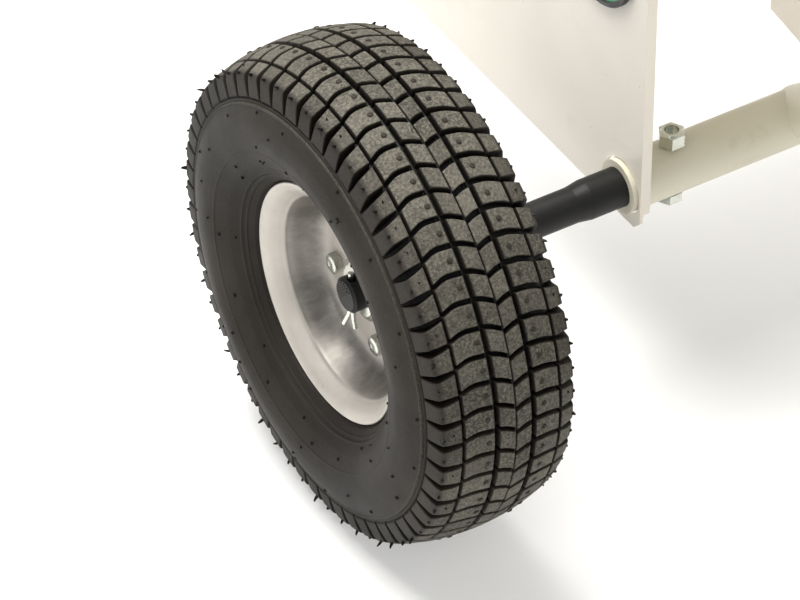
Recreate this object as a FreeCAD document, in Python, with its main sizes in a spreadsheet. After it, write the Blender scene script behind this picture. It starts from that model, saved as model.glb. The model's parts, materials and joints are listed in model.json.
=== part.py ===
import FreeCAD, Part
import os, math

# Walk-behind drop-type garden spreader.
# Row frame: +X to the operator's right, +Y forward (direction of travel), +Z up, Z = 0 is the ground.
# Every piece is drawn relative to the axle line (y = 0, z = 0 on the axle, x = 0 on the mid-plane)
# and is placed by its Placement at (0, axle_y, axle_z).

doc = FreeCAD.newDocument("garden_spreader")
V = FreeCAD.Vector
sh = doc.addObject("Spreadsheet::Sheet", "Sizes")
row = [0]
VAL = {}
def cell(alias, value, note=""):
    row[0] += 1
    a = "A%d" % row[0]
    b = "B%d" % row[0]
    sh.set(a, alias)
    sh.set(b, str(value))
    sh.setAlias(b, alias)
    VAL[alias] = float(value)

for alias, value in [
    ("axle_y", 388.64), ("axle_z", 133.0),
    ("track_half", 353.0),
    # tyre and rim (4.10/3.50-4 on a 4 inch split rim)
    ("tyre_r", 133.0), ("tyre_half_w", 45.8), ("flange_r", 64.5), ("rim_half_w", 30.0), ("rim_sheet", 2.0),
    ("hub_r", 17.5), ("hub_bore_r", 15.0), ("hub_out", 8.0), ("hub_in", 37.0), ("hub_flange_r", 41.2),
    ("bolt_circle_r", 34.0), ("axle_r", 9.75), ("axle_big_r", 10.95), ("bearing_bore_r", 9.8),
    ("axle_out", 371.0), ("axle_step", 235.0), ("axle_inner_end", 140.0),
    # tubes
    ("tube_r", 15.0), ("tube_bore_r", 11.0), ("tube_end_x", 206.5), ("handle_x", 92.0),
    ("handle_r", 15.875), ("handle_bore_r", 13.875), ("handle_deg", 36.5), ("handle_len", 1240.0),
    ("crossbar_half", 250.0), ("crossbar_r", 12.7), ("grip_r", 16.5), ("grip_len", 125.0),
    ("brace_r", 9.5), ("brace_low_at", 430.0), ("brace_high_at", 1000.0),
    ("leg_r", 11.0), ("leg_y", -250.0), ("foot_half", 150.0), ("foot_cap_r", 13.5),
    # hopper
    ("plate_x", 202.0), ("sheet", 2.0), ("plate_rear", -17.5), ("plate_front", 225.0), ("plate_low", -18.0),
    ("plate_top", 330.0), ("plate_hole_r", 16.0), ("rear_flange", 6.0), ("low_flange", 12.0), ("bolt_x", 174.0),
    ("wall", 1.5), ("trough_rear", 70.0), ("trough_front", 120.0), ("trough_z", 92.0), ("bend_z", 250.0),
    ("slot_pitch", 36.0), ("slot_len", 22.0), ("slot_wid", 18.0), ("slot_y", 95.0), ("gate_travel", 23.7),
    # agitator
    ("shaft_y", 94.0), ("shaft_z", 109.4), ("shaft_r", 7.0), ("gear_module", 3.0), ("drive_teeth", 64.0),
    ("agitator_teeth", 32.0), ("gear_x", 288.0), ("gear_w", 8.0),
    # control
    ("lever_at", 1000.0), ("lever_up", 68.0), ("crank", 35.0), ("lever_lean", 15.8),
    ]:
    cell(alias, value)
doc.recompute()
S = VAL
def E(x):
    return "(" + x.replace("$", "Sizes.") + ")"

nodes = []
def place(o, x="0"):
    o.setExpression("Placement.Base.x", E(x)) if x != "0" else None
    o.setExpression("Placement.Base.y", "Sizes.axle_y")
    o.setExpression("Placement.Base.z", "Sizes.axle_z")

def keep(o, label, placed=True):
    o.Label = label
    if placed:
        place(o)
    nodes.append(o)
    return o

# ------------------------------------------------------------------ PartDesign helpers
def origin_plane(b, role):
    for f in b.Origin.OriginFeatures:
        if f.Role == role:
            return f

def new_body(label):
    b = doc.addObject("PartDesign::Body", label + "_body")
    b.Label = label
    return b

def sketch(b, role, off="0"):
    s = b.newObject("Sketcher::SketchObject", b.Name + "_sk")
    s.AttachmentSupport = [(origin_plane(b, role), "")]
    s.MapMode = "FlatFace"
    if off != "0":
        s.setExpression("AttachmentOffset.Base.z", E(off))
    return s

def num(expr):
    e = expr.replace("$", "")
    return arith(e)

def arith(e):
    # small arithmetic reader for the sheet's aliases: + - * / and brackets
    toks, i = [], 0
    while i < len(e):
        c = e[i]
        if c.isspace():
            i += 1
        elif c.isdigit() or c == ".":
            j = i
            while j < len(e) and (e[j].isdigit() or e[j] == "."):
                j += 1
            toks.append(float(e[i:j])); i = j
        elif c.isalpha():
            j = i
            while j < len(e) and (e[j].isalnum() or e[j] == "_"):
                j += 1
            toks.append(S[e[i:j]]); i = j
        else:
            toks.append(c); i += 1
    pos = [0]
    def atom():
        t = toks[pos[0]]; pos[0] += 1
        if t == "(":
            v = add(); pos[0] += 1
            return v
        if t == "-":
            return -atom()
        if t == "+":
            return atom()
        return t
    def mul():
        v = atom()
        while pos[0] < len(toks) and toks[pos[0]] in ("*", "/"):
            o = toks[pos[0]]; pos[0] += 1
            w = atom()
            v = v * w if o == "*" else v / w
        return v
    def add():
        v = mul()
        while pos[0] < len(toks) and toks[pos[0]] in ("+", "-"):
            o = toks[pos[0]]; pos[0] += 1
            w = mul()
            v = v + w if o == "+" else v - w
        return v
    return add()

def poly(s, pts):
    # closed polygon with every corner driven from the sheet: pts = [(u, v)], strings with $aliases
    import Sketcher
    n = len(pts)
    P = [V(num(str(u)), num(str(v)), 0) for u, v in pts]
    g0 = s.GeometryCount
    for i in range(n):
        s.addGeometry(Part.LineSegment(P[i], P[(i + 1) % n]), False)
    for i in range(n):
        s.addConstraint(Sketcher.Constraint("Coincident", g0 + i, 2, g0 + (i + 1) % n, 1))
    for i in range(n):
        for kind, txt, val in (("DistanceX", str(pts[i][0]), P[i].x), ("DistanceY", str(pts[i][1]), P[i].y)):
            c = s.addConstraint(Sketcher.Constraint(kind, -1, 1, g0 + i, 1, val))
            if "$" in txt:
                s.setExpression("Constraints[%d]" % c, E(txt))

def circle(s, u, v, r):
    import Sketcher
    g = s.addGeometry(Part.Circle(V(num(str(u)), num(str(v)), 0), V(0, 0, 1), num(str(r))), False)
    for kind, txt in (("DistanceX", str(u)), ("DistanceY", str(v))):
        c = s.addConstraint(Sketcher.Constraint(kind, -1, 1, g, 3, num(txt)))
        if "$" in txt:
            s.setExpression("Constraints[%d]" % c, E(txt))
    c = s.addConstraint(Sketcher.Constraint("Radius", g, num(str(r))))
    if "$" in str(r):
        s.setExpression("Constraints[%d]" % c, E(str(r)))

def pad(b, s, length, rev=False, mid=False):
    f = b.newObject("PartDesign::Pad", b.Name + "_pad")
    f.Profile = s
    f.Length = num(length)
    f.setExpression("Length", E(length)) if "$" in length else None
    f.Reversed = rev
    f.Midplane = mid
    return f

def pocket(b, s, length, rev=False, mid=False):
    f = b.newObject("PartDesign::Pocket", b.Name + "_pocket")
    f.Profile = s
    f.Length = num(length)
    f.setExpression("Length", E(length)) if "$" in length else None
    f.Reversed = rev
    f.Midplane = mid
    return f

def turned(label, pts, holes=None):
    # body of revolution about the X axis; pts = (x, r)
    b = new_body(label)
    s = sketch(b, "XZ_Plane")
    poly(s, pts)
    if holes:
        poly(s, holes)
    f = b.newObject("PartDesign::Revolution", b.Name + "_rev")
    f.Profile = s
    f.ReferenceAxis = (origin_plane(b, "X_Axis"), [""])
    f.Angle = 360
    b.Tip = f
    return keep(b, label)

# ------------------------------------------------------------------ Part helpers
def cyl(r, length, base=("0", "0", "0"), axis=(1, 0, 0), name="Cyl"):
    c = doc.addObject("Part::Cylinder", name)
    c.Radius = num(r); c.Height = num(length)
    if "$" in r: c.setExpression("Radius", E(r))
    if "$" in length: c.setExpression("Height", E(length))
    c.Placement = FreeCAD.Placement(V(*[num(q) for q in base]), FreeCAD.Rotation(V(0, 0, 1), V(*axis)))
    for q, w in zip(base, "xyz"):
        if "$" in q: c.setExpression("Placement.Base." + w, E(q))
    return c

def box(lx, ly, lz, base, name="Box"):
    c = doc.addObject("Part::Box", name)
    for at, q in (("Length", lx), ("Width", ly), ("Height", lz)):
        setattr(c, at, num(q))
        if "$" in q: c.setExpression(at, E(q))
    c.Placement.Base = V(*[num(q) for q in base])
    for q, w in zip(base, "xyz"):
        if "$" in q: c.setExpression("Placement.Base." + w, E(q))
    return c

def ball(r, base, name="Ball"):
    c = doc.addObject("Part::Sphere", name)
    c.Radius = num(r)
    if "$" in r: c.setExpression("Radius", E(r))
    c.Placement.Base = V(*[num(q) for q in base])
    for q, w in zip(base, "xyz"):
        if "$" in q: c.setExpression("Placement.Base." + w, E(q))
    return c

def cut(a, t, name="Cut"):
    c = doc.addObject("Part::Cut", name)
    c.Base = a; c.Tool = t
    return c

def fuse(items, name="Fuse"):
    c = doc.addObject("Part::MultiFuse", name)
    c.Shapes = items
    c.Refine = True
    return c

def solid(shape, label):
    o = doc.addObject("Part::Feature", label + "_shape")
    o.Shape = shape
    return keep(o, label)

G = math.radians(S["handle_deg"])
D = V(0, -math.cos(G), math.sin(G))       # up along the handle
N = V(0, math.sin(G), math.cos(G))        # square to the handle, upwards
def HP(x, a, b):
    return V(x, 0, 0) + D * a + N * b
def hex_prism(c, ax, af, length):
    ax = V(*ax); ax.normalize()
    u = ax.cross(V(0, 0, 1)) if abs(ax.z) < 0.9 else ax.cross(V(0, 1, 0))
    u.normalize(); w = ax.cross(u)
    R = af / math.sqrt(3)
    P = [c + u * (R * math.cos(k * math.pi / 3)) + w * (R * math.sin(k * math.pi / 3)) for k in range(6)]
    return Part.Face(Part.makePolygon(P + [P[0]])).extrude(ax * length)
def rod(a, b, r):
    d = b - a
    return Part.makeCylinder(r, d.Length, a, d)
def fused(L):
    q = L[0].fuse(L[1:]) if len(L) > 1 else L[0]
    return q.removeSplitter()

# ================================================================== wheels
def wheel(side, k):
    # k = +1: left wheel, tyre mid-plane at x = -track_half, inboard is +x; k = -1: right wheel, mirrored
    def X(w):
        return ("-$track_half+(%s)" % w) if k > 0 else ("$track_half-(%s)" % w)
    def prof(pts):
        return [(X(w), r) for w, r in pts]
    # tyre carcass: bead, sidewall, crowned tread; hollow inside
    half = [("20.5", "57.0"), ("24.3", "59.6"), ("26.9", "62.5"), ("28.3", "65.5"), ("$rim_half_w+1", "66.6"), ("34", "70"), ("38", "75"), ("41.5", "80"),
            ("44.3", "86"), ("$tyre_half_w-0.2", "91.5"), ("$tyre_half_w", "96"), ("44.6", "102"), ("42.3", "108"), ("40.3", "113.4"),
            ("39.6", "118"), ("38.6", "124.6"), ("37.2", "126.2"), ("33", "127.9"), ("28", "129.3"), ("20", "131.2"), ("10.6", "132.4")]
    inner = [("0", "$tyre_r-8.5"), ("10.6", "124"), ("20", "122.8"), ("28", "120.5"), ("32", "117"), ("34.5", "112"), ("37", "106.5"), ("39.5", "101"),
             ("40.6", "95.5"), ("40", "90"), ("38", "84.5"), ("34", "78.5"), ("28.5", "72"), ("22", "63"), ("18.5", "56.3")]
    outer = half + [("0", "$tyre_r")]
    pts = outer + [("-(%s)" % w, r) for w, r in reversed(half)] \
        + [("-(%s)" % w, r) for w, r in reversed(inner[1:])] + [("0", "$tyre_r-8.5")] + inner[1:]
    turned("tyre_" + side, prof(pts))
    # inner tube, a closed hollow ring, with its valve stem and cap
    ti = [(0, 123.8), (10.4, 123.3), (19.8, 122.1), (27.6, 119.9), (31.4, 116.6), (33.8, 111.8), (36.3, 106.2), (38.8, 100.8), (39.9, 95.4), (39.3, 90.2), (37.4, 84.9), (33.5, 79), (28.1, 72.6), (21.5, 63.5), (17.5, 56.3)]
    to = [(0, 121.8), (10.2, 121.3), (19.4, 120.1), (26.8, 118), (30, 115.3), (32, 110.9), (34.5, 105.4), (36.9, 100.2), (37.9, 95.2), (37.3, 90.8), (35.6, 85.8), (31.9, 80.3), (26.6, 74.1), (19.8, 64.8), (16.6, 59)]
    def ring(L):
        P = [V(0, 0, 0) + V(k * w - k * S["track_half"], 0, r) for w, r in L] + [V(-k * w - k * S["track_half"], 0, r) for w, r in reversed(L[1:])]
        return Part.makePolygon(P + [P[0]])
    shell = Part.Face(ring(ti)).revolve(V(0, 0, 0), V(1, 0, 0), 360).cut(
        Part.Face(ring(to)).revolve(V(0, 0, 0), V(1, 0, 0), 360))
    va = math.radians(121.0)
    ry = V(0, math.cos(va), math.sin(va))
    def vp(w, r):
        return V(-k * S["track_half"] + k * w, 0, 0) + ry * r
    stem = fused([rod(vp(-8, 57.5), vp(-8, 35.0), 3.5), rod(vp(-8, 35.5), vp(-8, 25.5), 4.4)])
    tube = fused([shell, stem])
    solid(tube, "inner_tube_" + side)
    # split rim: two dished halves bolted back to back
    axis_side = [("0", "$hub_r+0.2"), ("0", "46.4"), ("2.6", "48.4"), ("10", "51.8"), ("17", "54.8"), ("21", "56.4"), ("24.5", "59.0"), ("27.2", "61.9"), ("28.6", "$flange_r+0.4"),
                 ("$rim_half_w", "$flange_r"), ("29.4", "62.9"), ("27.3", "60"), ("24", "57"), ("20", "54.4"), ("17", "52.9"), ("8", "49"), ("5.2", "47.2"), ("3.2", "44.8"), ("$rim_sheet", "41.5"), ("$rim_sheet", "$hub_r+0.2")]
    for nm, q in (("rim_outer_", -1), ("rim_inner_", 1)):
        b = new_body(nm + side + "_turned")
        s = sketch(b, "XZ_Plane")
        poly(s, prof([("%d*(%s)" % (q, w), r) for w, r in axis_side]))
        f = b.newObject("PartDesign::Revolution", b.Name + "_rev")
        f.Profile = s; f.ReferenceAxis = (origin_plane(b, "X_Axis"), [""]); f.Angle = 360
        b.Tip = f
        doc.recompute()
        v0 = b.Shape.Volume
        # one bolt hole repeated on the bolt circle
        s2 = sketch(b, "YZ_Plane", X("0"))
        a0 = math.radians(-14.0)
        circle(s2, "%.4f*$bolt_circle_r" % math.cos(a0), "%.4f*$bolt_circle_r" % math.sin(a0), "3.2")
        pk = pocket(b, s2, "12", mid=True)
        pp = b.newObject("PartDesign::PolarPattern", b.Name + "_pol")
        pp.Originals = [pk]; pp.Axis = (origin_plane(b, "X_Axis"), [""]); pp.Angle = 360; pp.Occurrences = 4
        b.Tip = pp
        if q < 0:
            doc.recompute()
            # the valve's hole through the cone of the outer half
            c = doc.addObject("Part::Feature", nm + side + "_valve_tool")
            c.Shape = rod(vp(-8, 62), vp(-8, 36), 3.9)
            keep(cut(b, c, "RimCut"), nm + side, placed=False)
            nodes[-1].Placement = FreeCAD.Placement()
            place(nodes[-1])
        else:
            keep(b, nm + side)
        doc.recompute()
        assert nodes[-1].Shape.Volume < v0 - 200, (nm, nodes[-1].Shape.Volume, v0)
    # hub: tube with a flange behind the inner rim half
    long_in = "$hub_in" if k > 0 else "$hub_in+20"
    hub = [("-$hub_out", "$hub_bore_r"), ("-$hub_out", "$hub_r"), ("$rim_sheet", "$hub_r"), ("$rim_sheet", "$hub_flange_r"), ("$rim_sheet+4", "$hub_flange_r"),
           ("$rim_sheet+4", "$hub_r"), (long_in, "$hub_r"), (long_in, "$hub_bore_r")]
    hb = new_body("hub_" + side)
    s = sketch(hb, "XZ_Plane"); poly(s, prof(hub))
    f = hb.newObject("PartDesign::Revolution", hb.Name + "_rev")
    f.Profile = s; f.ReferenceAxis = (origin_plane(hb, "X_Axis"), [""]); f.Angle = 360
    s2 = sketch(hb, "YZ_Plane", X("$rim_sheet+2"))
    a0 = math.radians(-14.0)
    circle(s2, "%.4f*$bolt_circle_r" % math.cos(a0), "%.4f*$bolt_circle_r" % math.sin(a0), "3.2")
    pk = pocket(hb, s2, "9", mid=True)
    pp = hb.newObject("PartDesign::PolarPattern", hb.Name + "_pol")
    pp.Originals = [pk]; pp.Axis = (origin_plane(hb, "X_Axis"), [""]); pp.Angle = 360; pp.Occurrences = 4
    hb.Tip = pp
    keep(hb, "hub_" + side)
    # two ball bearings pressed into the hub
    x0 = -k * S["track_half"]
    L = S["hub_in"] if k > 0 else S["hub_in"] + 20
    br = []
    for w0 in (-S["hub_out"], L - 12.0):
        a = V(x0 + k * w0, 0, 0)
        br.append(Part.makeCylinder(S["hub_bore_r"], 12, a, V(k, 0, 0)).cut(Part.makeCylinder(S["bearing_bore_r"], 14, a - V(k, 0, 0), V(k, 0, 0))))
    solid(Part.makeCompound(br), "hub_bearings_" + side)
    # rim bolts: head outside, nut on the hub flange
    bl = []
    for j in range(4):
        a = math.radians(-14 + 90 * j)
        c = V(x0, math.cos(a) * S["bolt_circle_r"], math.sin(a) * S["bolt_circle_r"])
        ax = V(k, 0, 0)
        bl.append(fused([hex_prism(c - ax * 6.4, (k, 0, 0), 10, 4.4), rod(c - ax * 2.2, c + ax * 13, 3.0)]))
        bl.append(hex_prism(c + ax * 6, (k, 0, 0), 10, 5.2).cut(rod(c + ax * 5, c + ax * 14, 3.0)))
    solid(Part.makeCompound(bl), "rim_bolts_" + side)
    # stub axle, stepped, with the cotter hole and a cross hole for its clamping bolt
    xs = lambda v: "-%d*(%s)" % (k, v)
    ax_pts = [(xs("$axle_inner_end"), "0"), (xs("$axle_inner_end"), "$axle_big_r"), (xs("$axle_step-8"), "$axle_big_r"), (xs("$axle_step"), "$axle_r"),
              (xs("$axle_out-1.5"), "$axle_r"), (xs("$axle_out"), "$axle_r-1.5"), (xs("$axle_out"), "0")]
    b = new_body("stub_axle_" + side)
    s = sketch(b, "XZ_Plane"); poly(s, ax_pts)
    f = b.newObject("PartDesign::Revolution", b.Name + "_rev")
    f.Profile = s; f.ReferenceAxis = (origin_plane(b, "X_Axis"), [""]); f.Angle = 360
    s2 = sketch(b, "XY_Plane")
    circle(s2, xs("$axle_out-4.2"), "0", "2.6")
    circle(s2, xs("$bolt_x"), "0", "4")
    pocket(b, s2, "60", mid=True)
    keep(b, "stub_axle_" + side)
    # split pin through the axle end
    cx = -k * (S["axle_out"] - 4.2)
    def p(dx, y, z):
        return V(cx + k * dx, y, z)
    pin = [rod(p(0, 1.15, 12.6), p(0, 1.15, -11), 1.35), rod(p(0, -1.15, 12.6), p(0, -1.15, -11), 1.35)]
    t1 = [p(0, -1.15, -11), p(0.2, -1.3, -16), p(0.9, -1.6, -22.2)]
    t2 = [p(0, 1.15, -11), p(-0.8, 2.0, -15.5), p(-2.6, 3.6, -21.6)]
    for T in (t1, t2):
        for i in range(2):
            pin.append(rod(T[i], T[i + 1], 1.35))
            pin.append(Part.makeSphere(1.42, T[i]))
    loop = Part.makeTorus(3.9, 1.35, p(0, 0, 15.4), V(1, 0, 0))
    pin.append(loop)
    return fused(pin)

pin_l = wheel("left", 1)
pin_r = wheel("right", -1)
solid(Part.makeCompound([pin_l, pin_r]), "cotter_pins")

# thrust washers (both ends of both hubs) and locking collars
wa, co = [], []
for k, gx in ((1, 0.0), (-1, 20.0)):
    x0 = -k * S["track_half"]
    for w in (-S["hub_out"] - 2.3, S["hub_in"] + gx + 0.3 + 0.0):
        a = V(x0 + k * w, 0, 0)
        wa.append(Part.makeCylinder(15.5 if w > 0 else 14.0, 2.0, a, V(k, 0, 0)).cut(Part.makeCylinder(S["axle_r"], 4, a - V(k, 0, 0), V(k, 0, 0))))
    a = V(x0 + k * (S["hub_in"] + gx + 2.3), 0, 0)
    co.append(Part.makeCylinder(14.5, 9, a, V(k, 0, 0)).cut(Part.makeCylinder(S["axle_r"], 12, a - V(k, 0, 0), V(k, 0, 0))))
solid(Part.makeCompound(wa), "hub_washers")
solid(Part.makeCompound(co), "locking_collars")

# ================================================================== axle and handle tubes
for side, k in (("left", 1), ("right", -1)):
    # handle tube: a straight tube with a rounded lower corner on the axle line; it is saddled onto the crossbar
    hx = "-%d*$handle_x" % k
    o1 = cyl("$handle_r", "$handle_len", (hx, "0", "0"), tuple(D), "HandleOut")
    o2 = ball("$handle_r", (hx, "0", "0"), "CornerOut")
    i1 = cyl("$handle_bore_r", "$handle_len", (hx, "0", "0"), tuple(D), "HandleIn")
    i2 = ball("$handle_bore_r", (hx, "0", "0"), "CornerIn")
    tip = HP(0, S["handle_len"], 0)
    cb = doc.addObject("Part::Cylinder", "CrossbarTool")
    cb.setExpression("Radius", "Sizes.crossbar_r"); cb.Height = 400
    cb.Placement = FreeCAD.Placement(V(-200, tip.y, tip.z), FreeCAD.Rotation(V(0, 0, 1), V(1, 0, 0)))
    body = cut(fuse([o1, o2]), fuse([i1, i2, cb]), "HandleTube")
    keep(body, "handle_tube_" + side)
    # axle tube: from its open end outside the plate to the corner; a vertical bolt hole clamps the stub axle
    tx = "-$tube_end_x" if k > 0 else "$handle_x"
    a1 = cyl("$tube_r", "$tube_end_x-$handle_x", (tx, "0", "0"), (1, 0, 0), "AxleTube")
    a2 = cyl("$tube_bore_r", "$tube_end_x-$handle_x+2", (tx + "-1", "0", "0"), (1, 0, 0), "AxleBore")
    a3 = ball("$handle_r", (hx, "0", "0"), "CornerTool")
    a4 = cyl("4", "60", ("-%d*$bolt_x" % k, "0", "-30"), (0, 0, 1), "BoltTool")
    a5 = cyl("$handle_r", "60", (hx, "0", "0"), tuple(D), "HandleTool")
    keep(cut(a1, fuse([a2, a3, a4, a5]), "AxleTubeCut"), "axle_tube_" + side)
# cross tube joining the two corners
c1 = cyl("$tube_r", "2*$handle_x", ("-$handle_x", "0", "0"), (1, 0, 0), "CrossOut")
c2 = cyl("$tube_r-2", "2*$handle_x+2", ("-$handle_x-1", "0", "0"), (1, 0, 0), "CrossIn")
t = [c2]
for k in (1, -1):
    hx = "-%d*$handle_x" % k
    t += [ball("$handle_r", (hx, "0", "0")), cyl("$handle_r", "60", (hx, "0", "0"), tuple(D))]
keep(cut(c1, fuse(t), "CrossTube"), "cross_tube")
# crossbar and grips
tip = HP(0, S["handle_len"], 0)
def bar(r, length, x0, name):
    c = doc.addObject("Part::Cylinder", name)
    c.setExpression("Radius", E(r)); c.setExpression("Height", E(length))
    c.Placement = FreeCAD.Placement(V(x0, tip.y, tip.z), FreeCAD.Rotation(V(0, 0, 1), V(1, 0, 0)))
    return c
keep(cut(bar("$crossbar_r", "2*$crossbar_half", -S["crossbar_half"], "BarOut"), bar("$crossbar_r-2", "2*$crossbar_half+4", -S["crossbar_half"] - 2, "BarIn"), "Bar"), "crossbar", placed=False)
nodes[-1].Placement = FreeCAD.Placement(); place(nodes[-1])
for side, k in (("left", -1), ("right", 1)):
    xi = k * (S["crossbar_half"] - S["grip_len"])
    xo = k * (S["crossbar_half"] + 4)
    a, b_ = V(xi, tip.y, tip.z), V(xo, tip.y, tip.z)
    ax = V(k, 0, 0)
    g = fused([rod(a, b_, S["grip_r"]), rod(a - ax * 0, a + ax * 5, S["grip_r"] + 4), rod(b_ - ax * 6, b_, S["grip_r"] + 1.5)])
    g = g.cut(rod(a - ax, V(k * S["crossbar_half"], tip.y, tip.z), S["crossbar_r"]))
    solid(g, "grip_" + side)
# cross braces between the handle tubes
for nm, at in (("lower_brace", "brace_low_at"), ("upper_brace", "brace_high_at")):
    c = HP(0, S[at], 0)
    b1 = rod(V(-S["handle_x"], c.y, c.z), V(S["handle_x"], c.y, c.z), S["brace_r"])
    b2 = rod(V(-S["handle_x"] - 1, c.y, c.z), V(S["handle_x"] + 1, c.y, c.z), S["brace_r"] - 1.5)
    tools = [b2] + [rod(HP(x, S[at] - 60, 0), HP(x, S[at] + 60, 0), S["handle_r"]) for x in (-S["handle_x"], S["handle_x"])]
    solid(b1.cut(tools[0]).cut(tools[1]).cut(tools[2]), nm)
# axle clamping bolts and nylock nuts
ab, an = [], []
for k in (1, -1):
    c = V(-k * S["bolt_x"], 0, 0)
    r = S["tube_r"]
    sq = math.sqrt(r * r - 16)
    shank = rod(c + V(0, 0, -r - 0.6), c + V(0, 0, r + 5.6), 3.95)
    head = hex_prism(c + V(0, 0, -r - 5.9), (0, 0, 1), 13, 5.3)
    ab.append(fused([shank, head]))
    nut = fused([hex_prism(c + V(0, 0, r + 0.6), (0, 0, 1), 13, 7.4), Part.makeCone(6.3, 5.5, 1.0, c + V(0, 0, r + 8.0), V(0, 0, 1))])
    an.append(nut.cut(rod(c + V(0, 0, r), c + V(0, 0, r + 12), 3.95)))
solid(Part.makeCompound(ab + an), "axle_bolts")

# ================================================================== hopper
def drilled(b, label):
    """b with the eight rivet holes, as node label."""
    t = doc.addObject("Part::Feature", label + "_drill")
    t.Shape = Part.makeCompound([Part.makeCylinder(1.45, 12, V(k2 * (S["plate_x"] - (2.2 if n2 < 0 else 5.0)), y2 + n2 * 2.0, z2), V(0, -n2, 0))
                                 for k2 in (-1, 1) for y2, n2 in ((S["plate_rear"], -1), (S["plate_front"], 1)) for z2 in (268.0, 314.0)])
    keep(cut(b, t, label + "_cut"), label, placed=False)
    nodes[-1].Placement = FreeCAD.Placement()
    place(nodes[-1])
for side, k in (("left", 1), ("right", -1)):
    b = new_body("side_plate_" + side + "_sheet")
    X0 = "-$plate_x-$sheet" if k > 0 else "$plate_x"
    s = sketch(b, "YZ_Plane", X0)
    poly(s, [("$plate_rear", "$plate_low+4"), ("-12", "$plate_low-2"), ("12", "$plate_low-2"), ("20", "$plate_low"), ("209", "$plate_low"), ("$plate_front", "$plate_low+16"),
             ("$plate_front", "$plate_top"), ("$plate_rear", "$plate_top")])
    circle(s, "0", "0", "$plate_hole_r")
    circle(s, "$shaft_y", "$shaft_z", "11")
    p1 = pad(b, s, "$sheet")
    doc.recompute()
    v0 = p1.Shape.Volume
    # return flanges, folded inboard
    for pts, w in (([("$plate_rear", "$plate_low+9"), ("$plate_rear+$sheet", "$plate_low+9"), ("$plate_rear+$sheet", "$plate_top"), ("$plate_rear", "$plate_top")], "$rear_flange"),
                   ([("20", "$plate_low"), ("209", "$plate_low"), ("209", "$plate_low+$sheet"), ("20", "$plate_low+$sheet")], "$low_flange"),
                   ([("$plate_front-$sheet", "$plate_low+20"), ("$plate_front", "$plate_low+20"), ("$plate_front", "$plate_top"), ("$plate_front-$sheet", "$plate_top")], "$low_flange")):
        s = sketch(b, "YZ_Plane", ("-$plate_x-$sheet" if k > 0 else "$plate_x+$sheet"))
        poly(s, pts)
        f = pad(b, s, w, rev=(k < 0))
        b.Tip = f
    doc.recompute()
    assert b.Shape.Volume > v0 + 3000, (b.Shape.Volume, v0)
    b.Label = "side_plate_" + side + "_sheet"
    drilled(b, "side_plate_" + side)

def walled(label, pts):
    b = new_body(label + "_sheet")
    s = sketch(b, "YZ_Plane")
    poly(s, pts)
    f = pad(b, s, "2*$plate_x", mid=True)
    b.Tip = f
    drilled(b, label)
walled("hopper_rear_wall", [("$trough_rear-1.5", "$trough_z"), ("$trough_rear", "$trough_z"), ("$plate_rear+$sheet+$wall", "$bend_z+0.4"), ("$plate_rear+$sheet+$wall", "$plate_top"),
                            ("$plate_rear+$sheet", "$plate_top"), ("$plate_rear+$sheet", "$bend_z")])
walled("hopper_front_wall", [("$trough_front", "$trough_z"), ("$trough_front+1.5", "$trough_z"), ("$plate_front-$sheet", "$bend_z"), ("$plate_front-$sheet", "$plate_top"),
                             ("$plate_front-$sheet-$wall", "$plate_top"), ("$plate_front-$sheet-$wall", "$bend_z+0.4")])
# rear wall's lower corner stays clear of the flanges of the plates; bottom plate with a row of slots
def slotted(label, z0, y0, y1, ys, half, extra=None):
    b = new_body(label)
    s = sketch(b, "XY_Plane", z0)
    poly(s, [("-(%s)" % half, y0), (half, y0), (half, y1), ("-(%s)" % half, y1)] if extra is None else extra)
    p0 = pad(b, s, "$sheet")
    doc.recompute()
    v0 = p0.Shape.Volume
    s2 = sketch(b, "XY_Plane", z0)
    poly(s2, [("-4.5*$slot_pitch-$slot_len/2", ys + "-$slot_wid/2"), ("-4.5*$slot_pitch+$slot_len/2", ys + "-$slot_wid/2"),
              ("-4.5*$slot_pitch+$slot_len/2", ys + "+$slot_wid/2"), ("-4.5*$slot_pitch-$slot_len/2", ys + "+$slot_wid/2")])
    pk = pocket(b, s2, "12", mid=True)
    lp = b.newObject("PartDesign::LinearPattern", b.Name + "_lin")
    lp.Originals = [pk]
    lp.Direction = (origin_plane(b, "X_Axis"), [""])
    lp.Length = 9 * S["slot_pitch"]
    lp.setExpression("Length", "Sizes.slot_pitch*9")
    lp.Occurrences = 10
    b.Tip = lp
    keep(b, label)
    doc.recompute()
    assert b.Shape.Volume < v0 - 5000, (label, b.Shape.Volume, v0)
slotted("hopper_bottom", "$trough_z-$sheet", "$trough_rear-2", "$trough_front+2", "$slot_y", "$plate_x")
gy = "$slot_y+$gate_travel"
slotted("gate_plate", "$trough_z-2*$sheet-0.4", "76", "136", gy, "$plate_x-14",
        [("-($plate_x-14)", "76"), ("-14", "76"), ("-14", "67"), ("14", "67"), ("14", "76"), ("$plate_x-14", "76"), ("$plate_x-14", "136"), ("-($plate_x-14)", "136")])
# gate clevis: two ears under the rear of the gate carry the rod's pin (fixed on the gate)
zg = S["trough_z"] - 2 * S["sheet"] - 0.4
lugs = [fused([Part.makeBox(3, 28, 13, V(x, 52, zg - 13)), ]) for x in (-11, 8)]
pinr = rod(V(-12.5, 60, 78), V(12.5, 60, 78), 3.0)
gate_base = nodes.pop()
gate_base.setExpression("Placement.Base.y", None); gate_base.setExpression("Placement.Base.z", None)
gate_base.Placement = FreeCAD.Placement()
gate_base.Label = "gate_plate_body"
lugs_o = doc.addObject("Part::Feature", "GateClevis")
lugs_o.Shape = fused(lugs[:1] + [pinr] + lugs[1:])
gf = doc.addObject("Part::MultiFuse", "GateFuse")
gf.Shapes = [gate_base, lugs_o]
keep(gf, "gate_slide", placed=False)
place(gf)
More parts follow.
